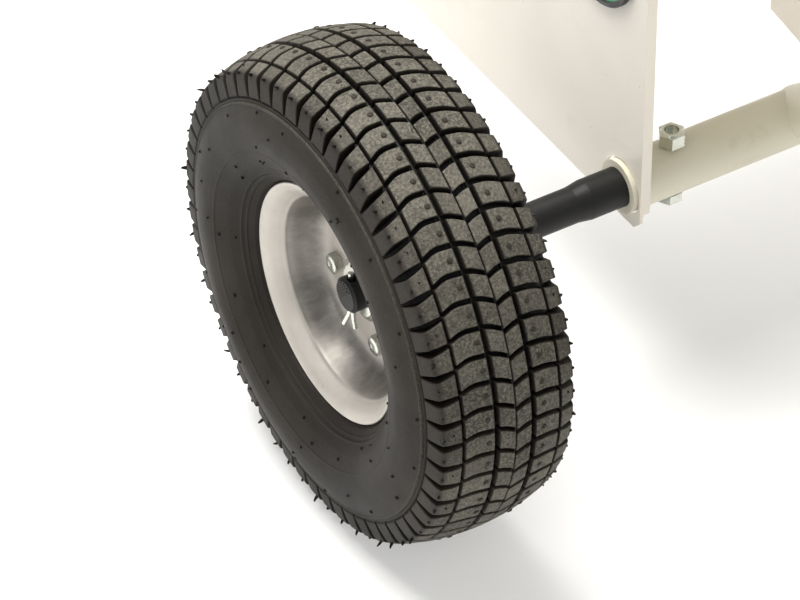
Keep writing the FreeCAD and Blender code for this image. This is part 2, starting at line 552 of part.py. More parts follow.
# guide rails under the bottom plate, bolted to the side plates
rails = []
for k in (-1, 1):
    x = k * S["plate_x"]
    lo, hi = sorted((x, x - k * 24))
    a = Part.makeBox(hi - lo, 82, 2, V(lo, 60, zg - 2.4))
    lo2, hi2 = sorted((x, x - k * 12))
    b_ = Part.makeBox(hi2 - lo2, 82, zg + 2.4 - (zg - 0.4), V(lo2, 60, zg - 0.4))
    rails.append(fused([a, b_]).cut(Part.makeBox(500, 200, 10, V(-250, 0, S["trough_z"] - S["sheet"]))))
solid(Part.makeCompound(rails), "gate_rails")
# gussets: upright brackets from the handle tubes to the hopper's rear wall
for side, k in (("left", 1), ("right", -1)):
    b = new_body("gusset_" + side + "_sheet")
    s = sketch(b, "YZ_Plane", "-%d*$handle_x" % k)
    poly(s, [("29", "51"), ("29", "165.9"), ("-15.9", "$bend_z-0.2"), ("-46", "236"), ("-112", "90"), ("-44", "40")])
    f = pad(b, s, "4", mid=True)
    b.Tip = f
    tool = cyl("$handle_r", "400", ("-%d*$handle_x" % k, "0", "0"), tuple(D), "GussetTool")
    keep(cut(b, tool, "Gusset"), "gusset_" + side, placed=False)
    nodes[-1].Placement = FreeCAD.Placement(); place(nodes[-1])
# screws that hold the walls to the plates' flanges
sc = []
for k in (-1, 1):
    for y, n_ in ((S["plate_rear"], -1), (S["plate_front"], 1)):
        for z in (268.0, 314.0):
            xx = k * (S["plate_x"] - (2.2 if n_ < 0 else 5.0))
            sc.append(fused([Part.makeCylinder(2.2 if n_ < 0 else 3.6, 1.6, V(xx, y + n_ * 1.6, z), V(0, -n_, 0)) if n_ > 0 else
                             Part.makeCylinder(1.9, 1.4, V(xx, y - 1.4, z), V(0, 1, 0)), Part.makeCylinder(1.4, 8, V(xx, y + n_ * 1.0, z), V(0, -n_, 0))]))
solid(Part.makeCompound(sc), "hopper_rivets")
# badge: plain round plate with a raised rim on each side plate
bd = []
for k in (-1, 1):
    c = V(k * (S["plate_x"] + S["sheet"]), 27.5, 137.3)
    d1 = Part.makeCylinder(31.5, 1.2, c, V(k, 0, 0))
    d2 = Part.makeCylinder(31.5, 2.0, c, V(k, 0, 0)).cut(Part.makeCylinder(28.6, 3.0, c - V(k * 0.3, 0, 0), V(k, 0, 0)))
    bd.append(fused([d1, d2]))
solid(Part.makeCompound(bd), "badges")

# ================================================================== agitator and its drive
sy, sz = S["shaft_y"], S["shaft_z"]
b = new_body("agitator_shaft")
s = sketch(b, "YZ_Plane", "-$plate_x-12")
circle(s, "$shaft_y", "$shaft_z", "$shaft_r")
f = pad(b, s, "$plate_x+12+$gear_x+$gear_w+1.5")
b.Tip = f
keep(b, "agitator_shaft")
pd = []
for i in range(12):
    x = -181.5 + i * 33.0
    a = math.radians(90 * (i % 4))
    u = V(0, math.cos(a), math.sin(a))
    c = V(x, sy, sz)
    collar = rod(c - V(5, 0, 0), c + V(5, 0, 0), 9.5).cut(rod(c - V(6, 0, 0), c + V(6, 0, 0), S["shaft_r"]))
    blade = rod(c - u * 15, c + u * 15, 2.5).cut(rod(c - V(6, 0, 0), c + V(6, 0, 0), 9.2))
    pd.append(fused([collar, blade]))
solid(Part.makeCompound(pd), "agitator_paddles")
bu = []
for k in (-1, 1):
    c = V(k * S["plate_x"], sy, sz)
    q = fused([Part.makeCylinder(15, 3, c + V(k * S["sheet"], 0, 0), V(k, 0, 0)), Part.makeCylinder(11, 7, c - V(k * 4, 0, 0), V(k, 0, 0))])
    bu.append(q.cut(Part.makeCylinder(S["shaft_r"] + 0.06, 40, c - V(20, 0, 0), V(1, 0, 0))))
solid(Part.makeCompound(bu), "agitator_bushes")

def gear(teeth, mod, width, bore, phase, backlash=0.35, web=None):
    # involute-like spur gear in the YZ plane; the flank is sampled from the involute; a tooth stands at angle phase
    rp = teeth * mod / 2.0
    rb = rp * math.cos(math.radians(20))
    ra, rf = rp + 0.9 * mod, rp - 1.25 * mod
    inv = lambda r: math.tan(math.acos(rb / r)) - math.acos(rb / r)
    half = (math.pi * mod / 2 - backlash) / 2 / rp
    rs = max(rb, rf) + 0.01
    radii = [rs + (ra - rs) * i / 4.0 for i in range(5)]
    offs = [half + inv(rp) - inv(r) for r in radii]
    P = []
    for t_ in range(int(teeth)):
        c = phase + 2 * math.pi * t_ / teeth
        left = [(r, c - o) for r, o in zip(radii, offs)]
        right = [(r, c + o) for r, o in reversed(list(zip(radii, offs)))]
        P += [(rf, c - offs[0])] + left + right + [(rf, c + offs[0])]
    pts = [V(0, r * math.cos(q), r * math.sin(q)) for r, q in P]
    g = Part.Face(Part.makePolygon(pts + [pts[0]])).extrude(V(width, 0, 0))
    return g.cut(Part.makeCylinder(bore, width + 2, V(-1, 0, 0), V(1, 0, 0)))
line = math.atan2(sz, sy)
gx = S["gear_x"]
g1 = gear(S["drive_teeth"], S["gear_module"], S["gear_w"], S["hub_r"], line)
for j in range(6):
    a = math.radians(30 + 60 * j)
    g1 = g1.cut(Part.makeCylinder(17, 20, V(-5, 57 * math.cos(a), 57 * math.sin(a)), V(1, 0, 0)))
g1.translate(V(gx, 0, 0))
# the hub's inboard end carries the drive gear, held by a boss
boss = Part.makeCylinder(25, 6, V(gx + 8, 0, 0), V(1, 0, 0)).cut(Part.makeCylinder(S["hub_r"], 20, V(gx, 0, 0), V(1, 0, 0)))
g1 = fused([g1, boss])
# the gear must sit on the hub: the hub runs from x = 296 inwards, so the gear is bored to the hub and keyed
solid(g1, "drive_gear")
g2 = gear(S["agitator_teeth"], S["gear_module"], S["gear_w"], S["shaft_r"], line + math.pi + math.pi / S["agitator_teeth"])
g2.translate(V(gx, sy, sz))
b2 = Part.makeCylinder(14, 10, V(gx - 10, sy, sz), V(1, 0, 0)).cut(Part.makeCylinder(S["shaft_r"], 30, V(gx - 15, sy, sz), V(1, 0, 0)))
solid(fused([g2, b2]), "agitator_gear")
# guard: cup around the agitator gear, open towards the drive gear, on two standoffs from the right plate
gc = V(0, sy, sz)
cup = Part.makeCylinder(60, gx + 10 - (gx - 14), V(gx - 14, sy, sz), V(1, 0, 0)).cut(Part.makeCylinder(58, 40, V(gx - 12, sy, sz), V(1, 0, 0)))
cup = cup.cut(Part.makeCylinder(16, 60, V(gx - 30, sy, sz), V(1, 0, 0))).cut(Part.makeCylinder(107, 60, V(gx - 30, 0, 0), V(1, 0, 0)))
so = []
for a in (line + math.radians(55), line - math.radians(55), line):
    c = gc + V(0, math.cos(a), math.sin(a)) * 44
    so.append(rod(V(S["plate_x"] + S["sheet"], c.y, c.z), V(gx - 13, c.y, c.z), 6))
solid(fused([cup] + so), "gear_guard")

# ================================================================== lid
ztop = S["plate_top"]
yr, yf = S["plate_rear"], S["plate_front"]
hy, hz = yf + 9.0, ztop + 5.0
xo = S["plate_x"] + S["sheet"] + 3.5
lid = Part.makeBox(2 * xo, (yf + 2) - (yr - 5.0), 1.6, V(-xo, yr - 5.0, ztop + 1.0))
sk1 = Part.makeBox(2 * xo, 1.6, 16, V(-xo, yr - 5.0, ztop - 13.4))
sk2 = [Part.makeBox(1.6, (yf + 2) - (yr - 5.0), 16, V(x, yr - 5.0, ztop - 13.4)) for x in (-xo, xo - 1.6)]
kn = []
for x in (-120, 90):
    kn.append(rod(V(x, hy, hz), V(x + 30, hy, hz), 6))
    kn.append(Part.makeBox(30, 20, 3.0, V(x, yf - 14, ztop + 2.0)))
lid = fused([lid, sk1] + sk2 + kn).cut(rod(V(-200, hy, hz), V(200, hy, hz), 3.06))
solid(lid, "hopper_lid")
kb = fused([rod(V(-45, yr + 12, ztop + 2.6), V(-45, yr + 12, ztop + 22), 5), rod(V(45, yr + 12, ztop + 2.6), V(45, yr + 12, ztop + 22), 5),
            rod(V(-52, yr + 12, ztop + 24), V(52, yr + 12, ztop + 24), 6.5)])
solid(kb, "lid_handle")
solid(rod(V(-128, hy, hz), V(128, hy, hz), 3.0), "lid_hinge_rod")
kf = []
for x in (-88.5, 58.5):
    q = fused([rod(V(x, hy, hz), V(x + 30, hy, hz), 6), Part.makeBox(30, 2.4, 22, V(x, yf - 0.0, ztop - 24 + 2)), Part.makeBox(30, 10.5, 3, V(x, yf, ztop - 3.0)),
               Part.makeBox(30, 3, 8, V(x, yf + 7.5, ztop - 3.0))])
    kf.append(q.cut(rod(V(x - 5, hy, hz), V(x + 35, hy, hz), 3.0)))
solid(Part.makeCompound(kf), "lid_knuckles")

# ================================================================== control: bracket, lever, rod
la, lu, cr, lean = S["lever_at"], S["lever_up"], S["crank"], math.radians(S["lever_lean"])
bk = []
for x in (-13.5, 11.0):
    P = [HP(x, la - 22, -2), HP(x, la + 22, -2), HP(x, la + 14, lu + 9), HP(x, la - 14, lu + 9)]
    bk.append(Part.Face(Part.makePolygon(P + [P[0]])).extrude(V(2.5, 0, 0)))
cen = HP(0, la, 0)
bot = [HP(-13.5, la - 22, 9.5), HP(-13.5, la + 22, 9.5), HP(-13.5, la + 22, 12.0), HP(-13.5, la - 22, 12.0)]
bk.append(Part.Face(Part.makePolygon(bot + [bot[0]])).extrude(V(27, 0, 0)))
bk = fused(bk).cut(rod(V(-30, cen.y, cen.z), V(30, cen.y, cen.z), S["brace_r"]))
pv = HP(0, la, lu)
bk = bk.cut(rod(V(-30, pv.y, pv.z), V(30, pv.y, pv.z), 4.0))
solid(bk, "control_bracket")
pb = fused([rod(V(-15.5, pv.y, pv.z), V(17, pv.y, pv.z), 4.0), hex_prism(V(-19, pv.y, pv.z), (1, 0, 0), 13, 5.5)])
nt = hex_prism(V(13.5, pv.y, pv.z), (1, 0, 0), 13, 6.5).cut(rod(V(10, pv.y, pv.z), V(30, pv.y, pv.z), 4.0))
solid(Part.makeCompound([pb, nt]), "lever_pivot_bolt")
U = D * (-math.sin(lean)) + N * math.cos(lean)
W = D * math.cos(lean) + N * math.sin(lean)
def LP(x, along, side):
    return pv + V(x, 0, 0) + U * along + W * side
def strap(x0, th, pts):
    P = [LP(x0, a, s_) for a, s_ in pts]
    return Part.Face(Part.makePolygon(P + [P[0]])).extrude(V(th, 0, 0))
lv = fused([strap(-8.5, 3, [(-11, -10), (60, -10), (150, -7), (150, 7), (60, 10), (-11, 10)]),
            rod(LP(-8.5, 0, 0), LP(9.5, 0, 0), 8.0)])
crank_pin = rod(LP(-8.5, cr, 0), LP(7.5, cr, 0), 3.0)
lv = fused([lv, crank_pin]).cut(rod(LP(-20, 0, 0), LP(20, 0, 0), 4.06))
solid(lv, "control_lever")
kb = fused([rod(LP(-7, 140, 0), LP(-7, 196, 0), 11.0), Part.makeSphere(12.5, LP(-7, 196, 0))])
kb = kb.cut(strap(-8.5, 3, [(100, -8), (150, -7), (150, 7), (100, 8)])).cut(strap(-8.5, 3, [(60, -10), (150, -7), (150, 7), (60, 10)]))
solid(kb, "lever_knob")
# rod from the gate clevis to the lever; its upper fork has clearance around the crank pin
lo = V(0, 60, 78)
up = LP(0, cr, 0)
up = V(0, up.y, up.z)
dr = up - lo
L_ = dr.Length
dr.normalize()
rr = fused([rod(lo + dr * 4, up - dr * 8, 4.0), rod(lo - V(6, 0, 0), lo + V(6, 0, 0), 7.0), rod(up - V(5.2, 0, 0), up + V(5.2, 0, 0), 8.5)])
rr = rr.cut(rod(lo - V(20, 0, 0), lo + V(20, 0, 0), 3.06)).cut(rod(up - V(20, 0, 0), up + V(20, 0, 0), 4.6))
solid(rr, "control_rod")

# ================================================================== stand
fz = -S["axle_z"] + S["foot_cap_r"]
for side, k in (("left", -1), ("right", 1)):
    x = k * S["handle_x"]
    t0 = rod(V(x, S["leg_y"], fz), V(x, S["leg_y"], 200), S["leg_r"]).cut(rod(V(x, S["leg_y"], fz - 5), V(x, S["leg_y"], 260), S["leg_r"] - 1.5))
    t0 = t0.cut(rod(HP(x, 150, 0), HP(x, 450, 0), S["handle_r"])).cut(rod(V(-300, S["leg_y"], fz), V(300, S["leg_y"], fz), S["leg_r"]))
    # keep only the piece below the handle tube
    t0 = min(t0.Solids, key=lambda q: q.CenterOfMass.z) if len(t0.Solids) > 1 else t0
    solid(t0, "stand_leg_" + side)
solid(rod(V(-S["foot_half"], S["leg_y"], fz), V(S["foot_half"], S["leg_y"], fz), S["leg_r"]).cut(
    rod(V(-S["foot_half"] - 1, S["leg_y"], fz), V(S["foot_half"] + 1, S["leg_y"], fz), S["leg_r"] - 1.5)), "stand_foot_bar")
fc = []
for k in (-1, 1):
    a = V(k * (S["foot_half"] - 36), S["leg_y"], fz)
    b_ = V(k * (S["foot_half"] + 4), S["leg_y"], fz)
    x0, x1 = sorted((a.x, b_.x))
    sole = Part.makeBox(x1 - x0, 19, 9, V(x0, S["leg_y"] - 9.5, -S["axle_z"]))
    fc.append(fused([rod(a, b_, S["foot_cap_r"]), sole]).cut(rod(a - V(k, 0, 0), V(k * S["foot_half"], S["leg_y"], fz), S["leg_r"])))
solid(Part.makeCompound(fc), "stand_feet")

# ================================================================== check and write
doc.recompute()
bad = [o.Name for o in doc.Objects if "Invalid" in o.State or "Error" in o.State]
assert not bad, bad
os.makedirs("parts", exist_ok=True)
names = set()
for o in nodes:
    s_ = o.Shape
    assert not s_.isNull() and s_.isValid() and s_.Volume > 0, o.Label
    assert s_.Solids, o.Label
    assert o.Label not in names, o.Label
    names.add(o.Label)
    s_.exportStep("parts/%s.step" % o.Label)
    bb = s_.BoundBox
    print("%-22s n=%d V=%10.1f  X %.1f..%.1f  Y %.1f..%.1f  Z %.1f..%.1f" % (o.Label, len(s_.Solids), s_.Volume, bb.XMin, bb.XMax, bb.YMin, bb.YMax, bb.ZMin, bb.ZMax))
print(len(nodes), "nodes")
allb = FreeCAD.BoundBox()
for o in nodes:
    allb.add(o.Shape.BoundBox)
print("box", allb)
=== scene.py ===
"""Walk-behind garden spreader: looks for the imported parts. Units are metres in the row frame."""
import json
import math
import random

import bmesh
import bpy
import numpy as np
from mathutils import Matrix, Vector


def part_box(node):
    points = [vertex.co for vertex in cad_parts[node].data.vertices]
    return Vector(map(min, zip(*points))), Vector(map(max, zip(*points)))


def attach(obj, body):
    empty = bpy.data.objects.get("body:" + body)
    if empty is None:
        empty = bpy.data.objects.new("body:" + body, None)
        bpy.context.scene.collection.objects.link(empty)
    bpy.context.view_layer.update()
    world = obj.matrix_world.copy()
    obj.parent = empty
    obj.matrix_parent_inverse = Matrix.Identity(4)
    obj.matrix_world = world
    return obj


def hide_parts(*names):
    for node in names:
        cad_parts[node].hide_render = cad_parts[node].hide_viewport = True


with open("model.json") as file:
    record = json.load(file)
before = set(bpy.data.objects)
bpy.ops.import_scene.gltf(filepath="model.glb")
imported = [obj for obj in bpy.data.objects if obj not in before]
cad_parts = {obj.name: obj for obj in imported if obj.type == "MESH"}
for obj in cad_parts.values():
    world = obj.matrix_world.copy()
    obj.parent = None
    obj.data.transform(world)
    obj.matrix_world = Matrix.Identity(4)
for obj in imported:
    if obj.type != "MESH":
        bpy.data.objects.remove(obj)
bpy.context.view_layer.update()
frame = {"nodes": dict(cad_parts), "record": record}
AY, AZ = 0.38864, 0.133          # the wheel axis
TRACK = 0.353                    # wheel mid-plane from the machine's mid-plane
scene = bpy.context.scene


def lin(c):
    """sRGB 0-255 to linear."""
    return tuple(((x / 255) / 12.92 if x / 255 <= 0.04045 else ((x / 255 + 0.055) / 1.055) ** 2.4) for x in c) + (1.0,)


# ---------------------------------------------------------------- materials
class Net:
    def __init__(self, name):
        self.m = bpy.data.materials.new(name)
        self.m.use_nodes = True
        self.t = self.m.node_tree
        self.t.nodes.clear()
        self.out = self.t.nodes.new("ShaderNodeOutputMaterial")
        self.b = self.t.nodes.new("ShaderNodeBsdfPrincipled")
        self.t.links.new(self.b.outputs[0], self.out.inputs["Surface"])
        self.co = self.t.nodes.new("ShaderNodeTexCoord").outputs["Object"]

    def set(self, **kw):
        for k, v in kw.items():
            self.b.inputs[k.replace("_", " ")].default_value = v
        return self

    def link(self, a, b):
        self.t.links.new(a, b)

    def noise(self, scale, detail=4.0, rough=0.55, stretch=None, out="Fac"):
        n = self.t.nodes.new("ShaderNodeTexNoise")
        n.inputs["Scale"].default_value = scale
        n.inputs["Detail"].default_value = detail
        n.inputs["Roughness"].default_value = rough
        co = self.co
        if stretch:
            mp = self.t.nodes.new("ShaderNodeMapping")
            mp.inputs["Scale"].default_value = stretch
            self.link(co, mp.inputs["Vector"])
            co = mp.outputs[0]
        self.link(co, n.inputs["Vector"])
        return n.outputs[out]

    def voronoi(self, scale, feature="F1", out="Distance"):
        n = self.t.nodes.new("ShaderNodeTexVoronoi")
        n.feature = feature
        n.inputs["Scale"].default_value = scale
        self.link(self.co, n.inputs["Vector"])
        return n.outputs[out]

    def ramp(self, src, stops, mode="LINEAR"):
        r = self.t.nodes.new("ShaderNodeValToRGB")
        r.color_ramp.interpolation = mode
        e = r.color_ramp.elements
        while len(e) < len(stops):
            e.new(0.5)
        for el, (p, c) in zip(e, stops):
            el.position = p
            el.color = c if hasattr(c, "__len__") else (c, c, c, 1)
        self.link(src, r.inputs[0])
        return r.outputs[0]

    def mix(self, fac, a, b, blend="MIX"):
        n = self.t.nodes.new("ShaderNodeMix")
        n.data_type = "RGBA"
        n.blend_type = blend
        for s, v in ((n.inputs[0], fac), (n.inputs[6], a), (n.inputs[7], b)):
            if hasattr(v, "is_output"):
                self.link(v, s)
            else:
                s.default_value = v
        return n.outputs[2]

    def math(self, op, a, b=0.0):
        n = self.t.nodes.new("ShaderNodeMath")
        n.operation = op
        for s, v in zip(n.inputs, (a, b)):
            if hasattr(v, "is_output"):
                self.link(v, s)
            else:
                s.default_value = v
        return n.outputs[0]

    def attr(self, name):
        n = self.t.nodes.new("ShaderNodeAttribute")
        n.attribute_name = name
        return n.outputs["Fac"]

    def pos(self):
        n = self.t.nodes.new("ShaderNodeSeparateXYZ")
        self.link(self.co, n.inputs[0])
        return n.outputs

    def edge(self, lo=0.52, hi=0.58):
        n = self.t.nodes.new("ShaderNodeNewGeometry")
        return self.ramp(n.outputs["Pointiness"], [(lo, 0.0), (hi, 1.0)])

    def bump(self, height, strength, dist, then=None):
        n = self.t.nodes.new("ShaderNodeBump")
        n.inputs["Strength"].default_value = strength
        n.inputs["Distance"].default_value = dist
        self.link(height, n.inputs["Height"])
        if then is not None:
            self.link(then, n.inputs["Normal"])
        self.link(n.outputs[0], self.b.inputs["Normal"])
        return n.outputs[0]

    def color(self, s):
        self.link(s, self.b.inputs["Base Color"])

    def rough(self, s):
        self.link(s, self.b.inputs["Roughness"])


def paint(name, main, low, grime, r=(0.34, 0.5), bare=(70, 66, 60), grimy=0.3):
    n = Net(name).set(Metallic=0.0, IOR=1.48, Specular_IOR_Level=0.5, Coat_Weight=0.12, Coat_Roughness=0.3)
    big = n.noise(7.0, 3.0)
    c = n.mix(n.ramp(big, [(0.35, 0.0), (0.7, 1.0)]), lin(main), lin(low))
    dirt = n.ramp(n.noise(30.0, 7.0, 0.65), [(0.58, 0.0), (0.85, grimy)])
    c = n.mix(dirt, c, lin(grime))
    spots = n.ramp(n.voronoi(75.0), [(0.0, 0.5), (0.045, 0.0)])
    c = n.mix(spots, c, lin(bare))
    n.color(c)
    n.rough(n.ramp(n.noise(22.0, 5.0), [(0.3, r[0]), (0.75, r[1])]))
    a = n.bump(n.noise(420.0, 2.0), 0.12, 0.0004)
    n.bump(n.noise(60.0, 2.0), 0.10, 0.0012, then=a)
    return n.m


def metal(name, main, dark, r=(0.22, 0.42), brushed=None, met=1.0, grime=(60, 56, 50)):
    n = Net(name).set(Metallic=met, IOR=1.5, Specular_IOR_Level=0.5)
    c = n.mix(n.ramp(n.noise(30.0, 6.0, 0.65), [(0.35, 0.0), (0.72, 1.0)]), lin(main), lin(dark))
    c = n.mix(n.ramp(n.noise(190.0, 8.0, 0.7), [(0.60, 0.0), (0.78, 0.5)]), c, lin(grime))
    n.color(c)
    n.rough(n.ramp(n.noise(48.0, 6.0), [(0.3, r[0]), (0.75, r[1])]))
    s = n.noise(260.0, 3.0, stretch=brushed) if brushed else n.noise(600.0, 3.0)
    n.bump(s, 0.10, 0.0003)
    return n.m


def plastic(name, main, r=(0.3, 0.45), spec=0.5, bump=0.1):
    n = Net(name).set(Metallic=0.0, IOR=1.46, Specular_IOR_Level=spec)
    light = tuple(min(255, x * 1.25 + 14) for x in main)
    n.color(n.mix(n.ramp(n.noise(70.0, 7.0, 0.7), [(0.5, 0.0), (0.8, 0.5)]), lin(main), lin(light)))
    n.rough(n.ramp(n.noise(60.0, 4.0), [(0.3, r[0]), (0.75, r[1])]))
    n.bump(n.noise(900.0, 2.0), bump, 0.0003)
    return n.m


def tyre_material():
    n = Net("tyre_rubber_mat").set(Metallic=0.0, IOR=1.5, Specular_IOR_Level=0.19)
    dust_and_painted_light = n.attr("dust_and_painted_light")
    cloud = n.noise(16.0, 5.0, 0.6)
    side = n.mix(n.ramp(cloud, [(0.35, 0.0), (0.68, 1.0)]), lin((33, 29, 25)), lin((46, 41, 36)))
    tops = n.mix(n.ramp(n.noise(24.0, 4.0, 0.6), [(0.35, 0.0), (0.66, 1.0)]), lin((56, 54, 48)), lin((90, 87, 79)))
    grain = n.noise(700.0, 5.0, 0.75)
    tops = n.mix(n.ramp(grain, [(0.44, 0.0), (0.66, 0.85)]), tops, lin((126, 122, 110)))
    tops = n.mix(n.ramp(n.noise(340.0, 5.0, 0.7), [(0.30, 0.75), (0.46, 0.0)]), tops, lin((42, 41, 37)))
    side = n.mix(n.ramp(n.noise(5.0, 2.0), [(0.4, 0.0), (0.62, 0.6)]), side, lin((24, 21, 18)))
    c = n.mix(n.ramp(dust_and_painted_light, [(0.0, 0.0), (1.0, 1.0)]), side, tops)
    # negative values paint near-black (12, 12, 11): painted shade in the groove floors and at the foot of the groove
    # walls; whiskers and sidewall nubs get the same near-black
    c = n.mix(n.ramp(n.math("MULTIPLY", dust_and_painted_light, -1.0), [(0.0, 0.0), (0.5, 1.0)]), c, lin((12, 12, 11)))
    n.color(n.mix(n.ramp(n.noise(260.0, 6.0, 0.8), [(0.62, 0.0), (0.80, 0.22)]), c, lin((118, 114, 102))))
    n.rough(n.math("ADD", n.ramp(n.noise(30.0, 5.0), [(0.3, 0.52), (0.75, 0.66)]), n.math("MULTIPLY", dust_and_painted_light, 0.16)))
    a = n.bump(n.noise(900.0, 4.0, 0.7), 0.35, 0.0006)
    n.bump(n.noise(90.0, 3.0), 0.12, 0.0012, then=a)
    return n.m


def rim_material():
    n = Net("rim_zinc_mat").set(Metallic=0.62, IOR=1.5, Specular_IOR_Level=0.5)
    # the profile tone mixes two copies of the zinc: 1 gives the bright band colour, a painted reflection, and 0 gives
    # the darker streaked wall colour, painted shade
    painted_light_tone = n.ramp(n.attr("dust_and_painted_light"), [(0.0, 0.0), (1.0, 1.0)])
    streak = n.noise(55.0, 6.0, 0.7, stretch=(0.35, 1.0, 1.0))
    wall = n.mix(n.ramp(streak, [(0.38, 0.0), (0.66, 1.0)]), lin((104, 101, 96)), lin((148, 144, 138)))
    band = n.mix(n.ramp(n.noise(26.0, 5.0), [(0.35, 0.0), (0.7, 1.0)]), lin((210, 204, 196)), lin((188, 183, 175)))
    c = n.mix(painted_light_tone, wall, band)
    c = n.mix(n.ramp(n.noise(240.0, 7.0, 0.75), [(0.63, 0.0), (0.76, 0.55)]), c, lin((70, 66, 60)))
    n.color(c)
    n.rough(n.math("ADD", n.ramp(n.noise(40.0, 5.0), [(0.3, 0.32), (0.75, 0.44)]), n.math("MULTIPLY", painted_light_tone, 0.14)))
    a = n.bump(n.noise(500.0, 3.0), 0.10, 0.0003)
    n.bump(n.noise(34.0, 3.0), 0.10, 0.0012, then=a)
    return n.m


RIM = rim_material()
CREAM = paint("cream_paint_mat", (246, 240, 229), (238, 231, 218), (206, 197, 178))
TUBE = paint("tube_paint_mat", (230, 226, 208), (216, 211, 190), (168, 158, 124), r=(0.4, 0.58), grimy=0.55)
MATS = {
    "cream_paint": CREAM,
    "tube_paint": TUBE,
    "zinc": metal("zinc_mat", (205, 199, 190), (186, 180, 172), r=(0.30, 0.44)),
    "black_axle": plastic("black_axle_mat", (21, 21, 20), r=(0.42, 0.56), spec=0.35),
    "tyre_rubber": tyre_material(),
    "soft_rubber": plastic("soft_rubber_mat", (38, 37, 36), r=(0.55, 0.7), spec=0.35, bump=0.3),
    "plated_steel": metal("plated_steel_mat", (222, 224, 216), (196, 199, 190), r=(0.2, 0.36)),
    "hub_steel": metal("hub_steel_mat", (150, 148, 142), (120, 118, 112), r=(0.35, 0.5), met=0.9),
    "gear_iron": metal("gear_iron_mat", (92, 90, 88), (60, 58, 56), r=(0.3, 0.5), met=0.9, grime=(30, 26, 22)),
    "bush_nylon": plastic("bush_nylon_mat", (226, 222, 208), r=(0.4, 0.55)),
    "black_plastic": plastic("black_plastic_mat", (34, 33, 32), r=(0.3, 0.5)),
    "green_badge": plastic("green_badge_mat", (36, 140, 92), r=(0.2, 0.32)),
    "dark_paint": paint("dark_paint_mat", (58, 58, 58), (48, 48, 48), (84, 78, 66), bare=(150, 146, 138)),
}
slot_of = {p["node"]: p["material_slot"] for p in frame["record"]["subparts"]}
for name, o in frame["nodes"].items():
    o.data.materials.clear()
    o.data.materials.append(MATS[slot_of[name]])
    for p in o.data.polygons:
        p.material_index = 0


# ---------------------------------------------------------------- mesh helpers
def new_piece(name, verts, faces, slot, body, attrs=None, smooth=True, angle=35.0, mat=None):
    me = bpy.data.meshes.new(name)
    me.from_pydata([tuple(v) for v in verts], [], [tuple(f) for f in faces])
    bm = bmesh.new()
    bm.from_mesh(me)
    bmesh.ops.recalc_face_normals(bm, faces=bm.faces)
    bm.to_mesh(me)
    bm.free()
    me.update()
    if attrs:
        for k, a in attrs.items():
            at = me.attributes.new(k, "FLOAT", "POINT")
            at.data.foreach_set("value", np.asarray(a, np.float32))
    o = bpy.data.objects.new(name, me)
    scene.collection.objects.link(o)
    if smooth:
        me.shade_smooth()
        me.set_sharp_from_angle(angle=math.radians(angle))
    me.materials.append(mat or MATS[slot])
    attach(o, body)
    return o


def hand(v, side):
    """(w, r, phi degrees) of the left wheel, w negative outwards, to the row frame; side 1 is the right wheel."""
    v = np.asarray(v, float)
    ph = np.radians(v[:, 2])
    x = (-TRACK + v[:, 0] / 1000) * (-1 if side else 1)
    return np.c_[x, AY + v[:, 1] * np.cos(ph) / 1000, AZ + v[:, 1] * np.sin(ph) / 1000]


class Bag:
    """Vertices as (w, r, phi), faces and the dust-and-painted-light value (dust on the tread tops, painted shade in the
    grooves, painted reflection and shade on the rims), gathered into one mesh.
    """

    def __init__(self):
        self.v, self.f, self.a, self.n = [], [], [], 0

    def add(self, v, f, a):
        v = np.asarray(v, float)
        self.v.append(v)
        self.f.extend([tuple(int(i) + self.n for i in q) for q in f])
        self.a.append(np.broadcast_to(np.asarray(a, float), (len(v),)))
        self.n += len(v)

    def make(self, name, slot, body, side, attr=True, angle=35.0, mat=None):
        v = hand(np.vstack(self.v), side)
        f = [q[::-1] for q in self.f] if side else self.f
        return new_piece(name, v, f, slot, body, {"dust_and_painted_light": np.concatenate(self.a)} if attr else None, angle=angle, mat=mat)


def lathe(pts, n, closed=True):
    """Turned ring of (w, r) points as (w, r, phi) vertices and quads; points run so that faces look outwards."""
    m = len(pts)
    ph = np.arange(n) * 360.0 / n
    v = [(w, r, p) for p in ph for w, r in pts]
    f = []
    for i in range(n):
        j = (i + 1) % n
        for k in range(m if closed else m - 1):
            q = (k + 1) % m
            f.append((i * m + k, i * m + q, j * m + q, j * m + k))
    return np.array(v), f


# ---------------------------------------------------------------- tyre
TOP = np.array([(0, 133), (10.6, 132.4), (20, 131.2), (28, 129.3), (33, 127.9), (37.0, 126.3), (38.3, 125.0), (39.5, 119.0), (40.3, 113.6)], float)
# the carcass under the tread, at the same places along the profile
BASE = np.array([(0, 127.8), (10.6, 127.2), (20, 126.0), (28, 123.8), (29.8, 121.8), (31.4, 119.8), (32.6, 117.8), (36.2, 115.0), (40.0, 113.2)], float)


def smooth_line(p, n):
    """Catmull-Rom through the points, n samples per span."""
    p = np.asarray(p, float)
    q = np.vstack([2 * p[0] - p[1], p, 2 * p[-1] - p[-2]])
    out = []
    for i in range(1, len(q) - 2):
        for t in np.linspace(0, 1, n, endpoint=False):
            a, b, c, d = q[i - 1:i + 3]
            out.append(0.5 * (2 * b + (c - a) * t + (2 * a - 5 * b + 4 * c - d) * t ** 2 + (3 * b - a - 3 * c + d) * t ** 3))
    out.append(p[-1])
    return np.array(out)


TOPF = np.vstack([smooth_line(TOP[:6], 12), smooth_line(TOP[6:], 4)])
SEG = np.r_[0, np.cumsum(np.hypot(*np.diff(TOPF, axis=0).T))]
KEYS = np.array([SEG[int(np.argmin(np.hypot(*(TOPF - q).T)))] for q in TOP])


